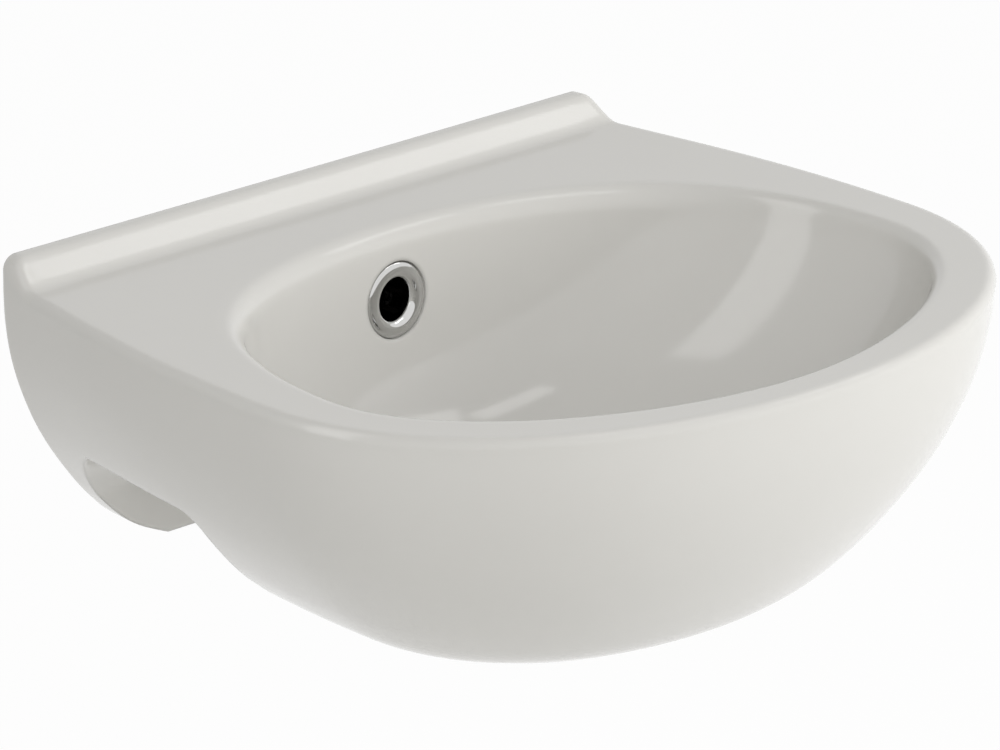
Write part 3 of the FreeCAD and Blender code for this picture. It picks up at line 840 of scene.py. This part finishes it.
    def rolled(self, rim: Vector, edge: Vector, turn: float) -> Vector:
        """Finds a point on the rim's rounding.

        Args:
            rim: the rim's point.
            edge: the bowl's point on the same bearing.
            turn: from 0 at the rim's side to a quarter turn at its top.

        Returns:
            The point.
        """
        radius = self.roll_radius(-rim.y)
        point = rim + (edge - rim).normalized() * radius * (1 - math.cos(turn))
        return Vector((point.x, point.y, self.upstand(point.x, -point.y) - radius * (1 - math.sin(turn))))

    def sunk(self, edge: Vector, level: float) -> Vector:
        """Finds a point on the bowl's wall, which is steep at the back and softer at the sides.

        Args:
            edge: the point of the bowl's edge above it, in the deck.
            level: how far down, as a share of the bowl's depth.

        Returns:
            The point.
        """
        curves = (self.bowl_back_curve, self.bowl_side_curve)
        back, side = ((1 - level ** rise) ** (1 / root) for rise, root in curves)
        away = edge.y + self.drain_out
        in_plan = away * (back if away > 0 else side)
        return Vector((edge.x * side, -self.drain_out + in_plan, -self.bowl_depth * level))

    def lip_radius(self, edge: Vector) -> float:
        """Returns the rounding of the bowl's edge: full at the back, tight along the sides and front."""
        back = ease(max((edge.y + self.drain_out) / (self.drain_out - self.bowl_back), 0.0))
        return self.lip_round + (self.lip_back_round - self.lip_round) * back

    def lipped(self, edge: Vector, turn: float) -> Vector:
        """Finds a point on the rounded edge of the bowl.

        Args:
            edge: the point of the bowl's edge, in the deck.
            turn: from 0 at the deck to a quarter turn at the wall.

        Returns:
            The point.
        """
        centre = Vector((0.0, -self.drain_out, 0.0))
        away = (edge - centre).normalized()
        r = self.lip_radius(edge)
        wall = self.sunk(edge, r * (1 - math.cos(turn)) / self.bowl_depth)
        return wall + away * r * (1 - math.sin(turn))

    def circle(self, bearings: Iterable[float], radius: float, height: float) -> list[Vector]:
        """Returns a half circle about the drain, with a point at each bearing."""
        return [Vector((radius * math.sin(b), -(self.drain_out - radius * math.cos(b)), height))
                for b in bearings]

    def underside(self, bearings: list[float]) -> list[list[Vector]]:
        """Lays out the rows from the drain out under the belly and up it.

        Args:
            bearings: the turns about the drain that the drain's rows have points at.

        Returns:
            The rows.
        """
        foot = flat(self.outer(self.belly_shares[-1]), -self.belly_depth)
        spots = ((self.drain_radius, -self.boss_depth),
                 (self.recess_radius - self.recess_round, -self.boss_depth),
                 (self.recess_radius, -self.boss_depth - self.recess_round),
                 (self.recess_radius, -self.belly_depth + self.edge_break),
                 (self.recess_radius + self.edge_break, -self.belly_depth))
        rows = [self.circle(bearings, radius, height) for radius, height in spots]
        start = rows[-1]
        rows += [[a.lerp(b, t) for a, b in zip(start, foot)] for t in self.foot_shares]
        low = self.rim_round / self.belly_depth
        for i in range(self.belly_rows + 1):
            level = 1 - (i / self.belly_rows) ** self.belly_gather
            level = low + (1 - low) * level
            rows.append(flat(self.outer(self.belly_share(level)), -self.belly_depth * level))
        return rows

    def topside(self, rim: list[Vector], edge: list[Vector]) -> list[list[Vector]]:
        """Lays out the rows over the rim, across the deck and over the bowl's lip.

        Args:
            rim: the belly's outline in the deck.
            edge: the bowl's edge in the deck.

        Returns:
            The rows.
        """
        quarter = quarter_turn(self.round_rows)
        rows = [[self.rolled(a, b, turn) for a, b in zip(rim, edge)] for turn in quarter[1:]]
        for t in self.deck_shares:
            rows.append([self.raised(self.inset(a, b).lerp(self.lipped(b, 0.0), t))
                         for a, b in zip(rim, edge)])
        return rows + [[self.raised(self.lipped(b, turn)) for b in edge] for turn in quarter]

    def inside(self, edge: list[Vector], bearings: list[float]) -> list[list[Vector]]:
        """Lays out the rows down the bowl's wall, over its floor and down the drain.

        Args:
            edge: the bowl's edge in the deck.
            bearings: the turns about the drain that its rows have points at.

        Returns:
            The rows.
        """
        rows = []
        begin = [self.lip_radius(b) / self.bowl_depth for b in edge]
        for i in range(1, self.bowl_rows + 1):
            t = 1 - (1 - i / self.bowl_rows) ** self.bowl_gather
            rows.append([self.sunk(b, top + (self.bowl_low - top) * t) for b, top in zip(edge, begin)])
        wall = rows[-1]
        floor = self.circle(bearings, self.seat_radius + self.edge_break,
                            -self.seat_depth + self.seat_rise)
        for i in range(1, self.floor_rows + 1):
            t = i / self.floor_rows
            dip = 1 - (1 - t) ** self.bowl_gather - t
            rows.append([a.lerp(b, t) + Vector((0, 0, (b.z - a.z) * dip)) for a, b in zip(wall, floor)])
        spots = ((self.seat_radius, -self.seat_depth), (self.drain_radius, -self.seat_depth),
                 (self.drain_radius, -self.boss_depth))
        return rows + [self.circle(bearings, radius, height) for radius, height in spots]

    def build(self) -> Piece:
        """Builds the china as one closed mesh, with its rear openings and overflow cut.

        Returns:
            The china.
        """
        outline = self.outer(1.0)
        bearings = [self.bearing(p) for p in outline]
        rim, edge = flat(outline, 0.0), flat(self.bowl(bearings), 0.0)
        halves = self.underside(bearings) + self.topside(rim, edge) + self.inside(edge, bearings)
        span = len(rim) - 1
        around, rows = 2 * span, len(halves) - 1
        bm = bmesh.new()
        bmesh.ops.create_grid(bm, x_segments=around, y_segments=rows, size=0.5)
        for vert in bm.verts:
            i, j = round((vert.co.x + 0.5) * around), round((vert.co.y + 0.5) * rows)
            point = halves[j][i if i <= span else around - i]
            vert.co = Vector((point.x if i <= span else -point.x, point.y, point.z))
        china = finish_mesh(bm, "basin_china")
        for tool in self.tools():
            work(china, tool, Cut.REMOVE)
        split_faces(china)
        smooth(china.data, self.crease)
        return china

    def rear_space(self) -> Piece:
        """Builds the space behind the belly: sloped along it, open at the sides, the duct left standing.

        Returns:
            The space as a solid.
        """
        wide, top, far = self.half_width + self.cut_over, -self.notch_top, -self.notch_low_out
        notch = prism([(-self.plate, top), (-self.notch_out, top), (far, top - self.notch_fall),
                       (far, -FAR_BELOW), (-self.plate, -FAR_BELOW)], -wide, 2 * wide)
        round_level(notch, top, self.notch_round)
        space = finish_mesh(notch, "rear_space")
        for side in (-1, 1):
            low, high = sorted((side * self.side_inner, side * wide))
            opening = block(Vector((low, -self.side_out, -FAR_BELOW)),
                            Vector((high, -self.plate, -self.side_top)))
            round_level(opening, -self.side_top, self.notch_round, -self.side_out)
            work(space, opening, Cut.ADD)
            work(space, self.flare(side), Cut.REMOVE)
        duct = block(Vector((-self.duct_half, -self.duct_far, -self.duct_foot)),
                     Vector((self.duct_half, -self.duct_near, 0.0)), self.duct_round)
        work(space, duct, Cut.REMOVE)
        return space

    def flare(self, side: int) -> Solid:
        """Builds the thickening of the wall plate towards one end.

        Args:
            side: -1 for the left end, 1 for the right.

        Returns:
            The solid as a mesh being built.
        """
        curve = [on_curve(self.flare_curve, i / self.flare_steps) for i in range(self.flare_steps + 1)]
        outline = [(self.flare_back, -self.flare_top), (self.flare_back, curve[0][1]), *curve,
                   (curve[-1][0], -self.flare_top)]
        length = self.half_width + self.flare_over - self.flare_start
        return prism([(-out, level) for out, level in outline], side * self.flare_start, side * length)

    def tools(self) -> list[Solid | Piece]:
        """Builds the solids that cut the rear space, plate, fixings and overflow.

        Returns:
            The solids, in the order in which they cut.
        """
        wide = self.half_width + self.cut_over
        tools = [self.rear_space(), block(Vector((-wide, -self.plate - self.trim_out, -FAR_BELOW)),
                                          Vector((wide, self.wall_over, -self.plate_foot)))]
        for side in (-1, 1):
            low, high = sorted((side * self.pocket_low, side * self.pocket_high))
            tools.append(block(Vector((low, -self.pocket_out, -self.pocket_foot)),
                               Vector((high, -self.plate, -self.pocket_top)), self.pocket_round))
            place = Matrix.Translation((side * self.fixing_half, 0, -self.fixing_depth))
            tools.append(lathe(tube(0.0, self.fixing_radius, -self.fixing_reach, self.wall_over),
                               self.hole_steps, place @ Matrix.Rotation(math.radians(-90), 4, "X")))
        return tools + [OverflowTrim().drill()]


# The overflow


@dataclass
class OverflowTrim:
    """The plated push-in ring in the overflow hole: a domed flange on a split sleeve.

    Sizes are in metres. The flange's edge is given as (in from the rim, over the seat).
    """

    depth: float = 0.031
    seat_out: float = 0.05634
    tilt: float = 3.0
    drill_radius: float = 0.0122
    drill_depth: float = 0.036
    drill_over: float = 0.02
    spot_radius: float = 0.0164
    radius: float = 0.016
    edge: tuple[Pair, ...] = (
        (0.0003, 0.0), (0.0, 0.0005), (0.0, 0.0013), (0.0003, 0.0020), (0.0010, 0.0026))
    crown_in: float = 0.0019
    crown_drop: float = 0.0003
    bore: float = 0.0084
    thick: float = 0.0032
    mouth_in: float = 0.0038
    mouth_drop: float = 0.0046
    sleeve: float = 0.0116
    sleeve_length: float = 0.017
    sleeve_wall: float = 0.0012
    sleeve_taper: float = 0.0008
    taper_start: float = 0.001
    collar: float = 0.0026
    slit: float = 0.0024
    slit_turns: Pair = (0.0, 55.0)
    slit_over: float = 0.002
    soft: float = 0.0002
    crease: float = 40.0
    mouth_steps: int = 10
    drill_steps: int = 72
    ring_steps: int = 128

    def place(self) -> Matrix:
        """Returns the ring's place: its axis out of the bowl's back wall."""
        return (Matrix.Translation((0, -self.seat_out, -self.depth))
                @ Matrix.Rotation(math.radians(90 - self.tilt), 4, "X"))

    def drill(self) -> Solid:
        """Returns the hole and spot face that the ring sits in."""
        hole, spot = self.drill_radius, self.spot_radius
        return lathe([(0.0, -self.drill_depth), (hole, -self.drill_depth), (hole, 0.0), (spot, 0.0),
                      (spot, self.drill_over), (0.0, self.drill_over)], self.drill_steps, self.place())

    def build(self) -> Piece:
        """Builds the ring with its split sleeve.

        Returns:
            The ring.
        """
        r, b, t = self.radius, self.bore, self.thick
        profile = [(self.sleeve, 0.0)] + [(r - inward, level) for inward, level in self.edge]
        profile.append((r - self.crown_in, t - self.crown_drop))
        profile += [(b + self.mouth_in * (1 - math.sin(a)), t - self.mouth_drop * (1 - math.cos(a)))
                    for a in quarter_turn(self.mouth_steps)]
        profile += [(b, -self.sleeve_length), (b + self.sleeve_wall, -self.sleeve_length),
                    (self.sleeve - self.sleeve_taper, -self.collar - self.taper_start),
                    (self.sleeve, -self.collar)]
        ring = finish_mesh(lathe(profile, self.ring_steps, self.place(), self.soft, FEW_FACES),
                           "overflow_trim")
        for turn in self.slit_turns:
            slit = block(Vector((0.0, -self.slit / 2, -self.sleeve_length - self.slit_over)),
                         Vector((self.sleeve + self.slit_over, self.slit / 2, -self.collar)))
            turned = self.place() @ Matrix.Rotation(math.radians(-turn), 4, "Z")
            bmesh.ops.transform(slit, matrix=turned, verts=slit.verts)
            work(ring, slit, Cut.REMOVE)
        smooth(ring.data, self.crease)
        return ring


# The waste


@dataclass
class Waste:
    """The press-to-close waste below the drain: plug, washer, nut and return spring.

    Sizes are in metres, tops and feet are depths below the deck, and the nut's corners are turned off.
    """

    out: float = 0.155
    cap_radius: float = 0.025
    cap_top: float = 0.0768
    cap_foot: float = 0.0814
    cap_in: float = 0.0012
    cap_break: float = 0.0008
    cap_side: float = 0.0024
    cap_soft: float = 0.0003
    cap_soft_over: float = 30.0
    dome_share: float = 0.985
    dome_drop: float = 0.0016
    dome_turns: tuple[float, ...] = (82.0, 66.0, 50.0, 36.0, 24.0, 14.0, 6.0)
    washer_radius: float = 0.029
    washer_bore: float = 0.0213
    washer_top: float = 0.120
    washer_soft: float = 0.0004
    nut_sides: int = 6
    nut_corner: float = 0.030
    nut_bore: float = 0.02103
    nut_top: float = 0.122
    nut_foot: float = 0.131
    nut_soft: float = 0.0005
    nut_over: float = 0.01
    nut_crease: float = 30.0
    turned_in: float = 0.004
    turned_low: float = 0.001
    turned_high: float = 0.0022
    coil_radius: float = 0.0051
    wire_radius: float = 0.0005
    coil_low: float = 0.13079
    coil_high: float = 0.11656
    coil_pitch: float = 0.0024
    coil_keep: float = 0.47
    cap_steps: int = 96
    ring_steps: int = 72
    coil_steps: int = 32
    wire_sides: int = 12

    def place(self) -> Matrix:
        """Returns the drain's axis."""
        return Matrix.Translation((0, -self.out, 0))

    def cap(self) -> Piece:
        """Builds the plug's domed cap.

        Returns:
            The cap.
        """
        r, top, foot = self.cap_radius, -self.cap_top, -self.cap_foot
        profile = [(0.0, foot), (r - self.cap_in, foot), (r, foot + self.cap_break),
                   (r, top - self.cap_side)]
        for a in map(math.radians, self.dome_turns):
            profile.append((r * math.sin(a) * self.dome_share, top - self.dome_drop * (1 - math.cos(a))))
        profile.append((0.0, top))
        dome = lathe(profile, self.cap_steps, self.place(), self.cap_soft, FEW_FACES, self.cap_soft_over)
        return finish_mesh(dome, "plug_dome")

    def washer(self) -> Piece:
        """Returns the clamp washer under the lower seal."""
        profile = tube(self.washer_bore, self.washer_radius, -self.nut_top, -self.washer_top)
        return finish_mesh(lathe(profile, self.ring_steps, self.place(), self.washer_soft), "washer_ring")

    def nut(self) -> Piece:
        """Builds the six-sided back nut with turned-off corners.

        Returns:
            The nut.
        """
        corner, top, foot = self.nut_corner, -self.nut_top, -self.nut_foot
        bm = bmesh.new()
        bmesh.ops.create_circle(bm, cap_ends=True, segments=self.nut_sides, radius=corner)
        bmesh.ops.translate(bm, vec=(0, 0, foot), verts=bm.verts)
        pull(bm, Vector((0, 0, top - foot)))
        bevel(bm, list(bm.edges), self.nut_soft, FEW_FACES)
        bmesh.ops.transform(bm, matrix=self.place(), verts=bm.verts)
        nut = finish_mesh(bm, "nut_hex")
        turned = [(0.0, foot - self.nut_over), (corner - self.turned_in, foot - self.turned_low),
                  (corner, foot + self.turned_high), (corner, top + self.nut_over),
                  (0.0, top + self.nut_over)]
        work(nut, lathe(turned, self.ring_steps, self.place()), Cut.KEEP)
        bore = tube(0.0, self.nut_bore, -FAR_BELOW, 0.0)
        work(nut, lathe(bore, self.ring_steps, self.place()), Cut.REMOVE)
        split_faces(nut)
        smooth(nut.data, self.nut_crease)
        return nut

    def coil(self) -> Piece:
        """Builds the return spring: a round wire wound up from the cartridge's floor.

        Returns:
            The spring.
        """
        steps = self.coil_steps
        count = round((self.coil_low - self.coil_high) / self.coil_pitch * steps)
        bm = bmesh.new()
        bmesh.ops.create_circle(bm, cap_ends=True, segments=self.wire_sides, radius=self.wire_radius)
        upright = Matrix.Rotation(math.radians(90), 3, "X")
        bmesh.ops.rotate(bm, cent=(0, 0, 0), matrix=upright, verts=bm.verts)
        bmesh.ops.translate(bm, vec=(self.coil_radius, 0, -self.coil_low), verts=bm.verts)
        end = bmesh.ops.duplicate(bm, geom=list(bm.verts) + list(bm.edges) + list(bm.faces))["geom"]
        bmesh.ops.spin(bm, geom=end, cent=(0, 0, 0), axis=(0, 0, 1), dvec=(0, 0, self.coil_pitch / steps),
                       angle=2 * math.pi * count / steps, steps=count, use_merge=False,
                       use_duplicate=False)
        bmesh.ops.transform(bm, matrix=self.place(), verts=bm.verts)
        return finish_mesh(bm, "return_coil")

    def give(self, coil: Piece) -> None:
        """Gives the coil a mesh of its own."""
        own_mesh(coil)


# The studio


@dataclass(frozen=True)
class Lamp:
    """A soft rectangular lamp that lights surfaces, shows in their gloss, or both.

    Places and sizes are in metres, the power is in watts and the roll in degrees.
    """

    name: str
    at: Place
    aim: Place
    size: Pair
    power: float
    roll: float = 0.0
    diffuse: bool = True
    gloss: bool = True

    def hang(self) -> None:
        """Adds the lamp to the scene."""
        data = bpy.data.lights.new(self.name, "AREA")
        data.shape, data.energy = "RECTANGLE", self.power
        data.size, data.size_y = self.size
        lamp = bpy.data.objects.new(self.name, data)
        lamp.location = self.at
        facing = (Vector(self.aim) - Vector(self.at)).to_track_quat("-Z", "Y").to_matrix()
        lamp.rotation_euler = (facing @ Matrix.Rotation(math.radians(self.roll), 3, "Z")).to_euler()
        lamp.visible_diffuse, lamp.visible_glossy = self.diffuse, self.gloss
        bpy.context.scene.collection.objects.link(lamp)


@dataclass
class Studio:
    """A white room: floor, soft lamps, pale world and the camera.

    Sizes are in metres. The places named for parts of the basin are what the lamps aim at. The focus, the
    aim and the picture's width are in the photograph's pixels, the sensor is in millimetres, the turn and
    height are in degrees and the roll is in radians.
    """

    floor_level: float = -0.62
    floor_size: float = 14.0
    floor_colour: Colour = (0.86, 0.86, 0.85)
    floor_white: float = 0.96
    sky_colour: Colour = (1.0, 0.99, 0.97)
    sky_strength: float = 0.48
    bowl: Place = (0.05, -0.15, -0.06)
    upstand: Place = (0.0, -0.013, 0.005)
    bowl_back: Place = (0.035, -0.085, -0.078)
    bowl_right: Place = (0.125, -0.130, -0.030)
    fill_size: Pair = (1.2, 1.0)
    picture_width: float = 1000.0
    pixel_focus: float = 8000.0
    aim_right: float = -20.48
    aim_up: float = -102.93
    turn: float = -45.49
    height: float = 19.59
    roll: float = 0.02843
    eye: Place = (-2.14476, -2.23854, 1.07067)
    sensor: float = 36.0
    sight: float = 50.0

    def seen(self, board: NodeBoard, lit: Node, white: Node, most: float) -> Node:
        """Shows one shader to light and mostly a white one to what looks at it.

        Args:
            board: the nodes that both are in.
            lit: the shader for light.
            white: the shader for camera, glossy and transmission rays.
            most: the white shader's share for those rays.

        Returns:
            The node that mixes them.
        """
        path = board.add("LightPath")
        share = path.outputs["Is Camera Ray"]
        for ray in ("Is Glossy Ray", "Is Transmission Ray"):
            share = board.reckon("MAXIMUM", share, path.outputs[ray])
        mix = board.add("MixShader")
        sockets = (board.reckon("MULTIPLY", share, most), lit.outputs[0], white.outputs[0])
        for source, target in zip(sockets, mix.inputs):
            board.join(source, target)
        return mix

    def floor(self) -> None:
        """Adds the pale floor, white to the camera but for the object's shadow."""
        bm = bmesh.new()
        bmesh.ops.create_grid(bm, x_segments=1, y_segments=1, size=self.floor_size / 2)
        bmesh.ops.translate(bm, vec=(0, 0, self.floor_level), verts=bm.verts)
        floor = finish_mesh(bm, "floor")
        board = NodeBoard(bpy.data.materials.new("pale_floor"))
        lit = board.add("BsdfDiffuse", Color=(*self.floor_colour, 1.0))
        white = board.add("Emission", Color=WHITE, Strength=1.0)
        mix = self.seen(board, lit, white, self.floor_white)
        board.join(mix.outputs[0], board.add("OutputMaterial").inputs["Surface"])
        floor.data.materials.append(board.owner)

    def world(self) -> None:
        """Sets a white surround that lights the object softly."""
        bpy.context.scene.world = bpy.data.worlds.new("surround")
        board = NodeBoard(bpy.context.scene.world)
        dim = board.add("Background", Color=(*self.sky_colour, 1.0), Strength=self.sky_strength)
        white = board.add("Background", Color=WHITE, Strength=1.0)
        mix = self.seen(board, dim, white, 1.0)
        board.join(mix.outputs[0], board.add("OutputWorld").inputs["Surface"])

    def lamps(self) -> None:
        """Adds the card and strips that show in the gloss, and the fills that only light."""
        lamps = (
            Lamp("key_card", (1.150, -0.455, 1.180), self.upstand, (0.50, 0.30),
                 power=0.95, roll=-66.2, diffuse=False),
            Lamp("top_strip", (0.478, -0.411, 1.280), self.bowl_back, (0.63, 0.195),
                 power=0.85, roll=-37.8, diffuse=False),
            Lamp("left_strip", (-0.944, 0.010, 0.610), self.bowl_right, (0.40, 1.73),
                 power=4.0, roll=12.4, diffuse=False),
            Lamp("right_fill", (1.55, -1.33, 0.35), self.bowl, self.fill_size, power=24.0, gloss=False),
            Lamp("front_fill", (-1.30, -1.35, 0.60), self.bowl, self.fill_size, power=6.5, gloss=False),
            Lamp("high_fill", (-0.70, -1.30, 1.25), self.bowl, self.fill_size, power=5.5, gloss=False),
        )
        for lamp in lamps:
            lamp.hang()

    def camera(self) -> None:
        """Sets the long-lens camera that was fitted to the photograph."""
        turn, height, roll = math.radians(self.turn), math.radians(self.height), self.roll
        across = Vector((math.cos(turn), math.sin(turn), 0.0))
        ahead = Vector((-math.sin(turn) * math.cos(height), math.cos(turn) * math.cos(height),
                        -math.sin(height)))
        above = across.cross(ahead)
        aim = (ahead * self.pixel_focus + across * self.aim_right + above * self.aim_up).normalized()
        x_axis = across * math.cos(roll) + above * math.sin(roll)
        x_axis = (x_axis - aim * x_axis.dot(aim)).normalized()
        y_axis = (-aim).cross(x_axis)
        data = bpy.data.cameras.new("camera")
        data.sensor_width, data.clip_end = self.sensor, self.sight
        data.lens = self.sensor * self.pixel_focus / self.picture_width
        camera = bpy.data.objects.new("camera", data)
        camera.matrix_world = (Matrix.Translation(self.eye)
                               @ Matrix((x_axis, y_axis, -aim)).transposed().to_4x4())
        bpy.context.scene.collection.objects.link(camera)
        bpy.context.scene.camera = camera

    def build(self) -> None:
        """Sets up the whole studio."""
        self.floor()
        self.world()
        self.lamps()
        self.camera()
        bpy.context.scene.view_settings.view_transform = "Standard"


NODE_SLOTS: dict[str, Slot] = {
    "waste_body": Slot.CHROME, "flange_seal": Slot.RUBBER, "lower_seal": Slot.RUBBER,
    "cartridge_body": Slot.PLASTIC, "cartridge_cap": Slot.PLASTIC, "index_ring": Slot.PLASTIC,
    "plug_stem": Slot.BRASS, "cartridge_screw": Slot.STEEL, "stem_clip": Slot.STEEL,
    "plug_seal": Slot.RUBBER,
}


def main() -> None:
    """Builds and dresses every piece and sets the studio."""
    logging.basicConfig(level=logging.INFO, format="%(name)s %(message)s")
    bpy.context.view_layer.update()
    palette = Palette()
    waste = Waste()
    coil = waste.coil()
    plan = [
        (Basin().build(), "basin", Slot.GLAZE, "basin"),
        (OverflowTrim().build(), "basin", Slot.CHROME, "overflow_ring"),
        (waste.cap(), "plug", Slot.CHROME, "plug_cap"),
        (waste.washer(), "basin", Slot.PLASTIC, "clamp_washer"),
        (waste.nut(), "basin", Slot.BRASS, "back_nut"),
        (coil, "basin", Slot.STEEL, "return_spring"),
    ]
    for piece, body, slot, node in plan:
        palette.dress(piece, slot)
        settle(piece, body, slot, node)
    waste.give(coil)
    for name, slot in NODE_SLOTS.items():
        palette.dress(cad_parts[name], slot)
        LOG.info("%s: carried over from the frame, as %s", name, slot.value)
    Studio().build()
    bpy.context.view_layer.update()


if __name__ == "__main__":
    main()
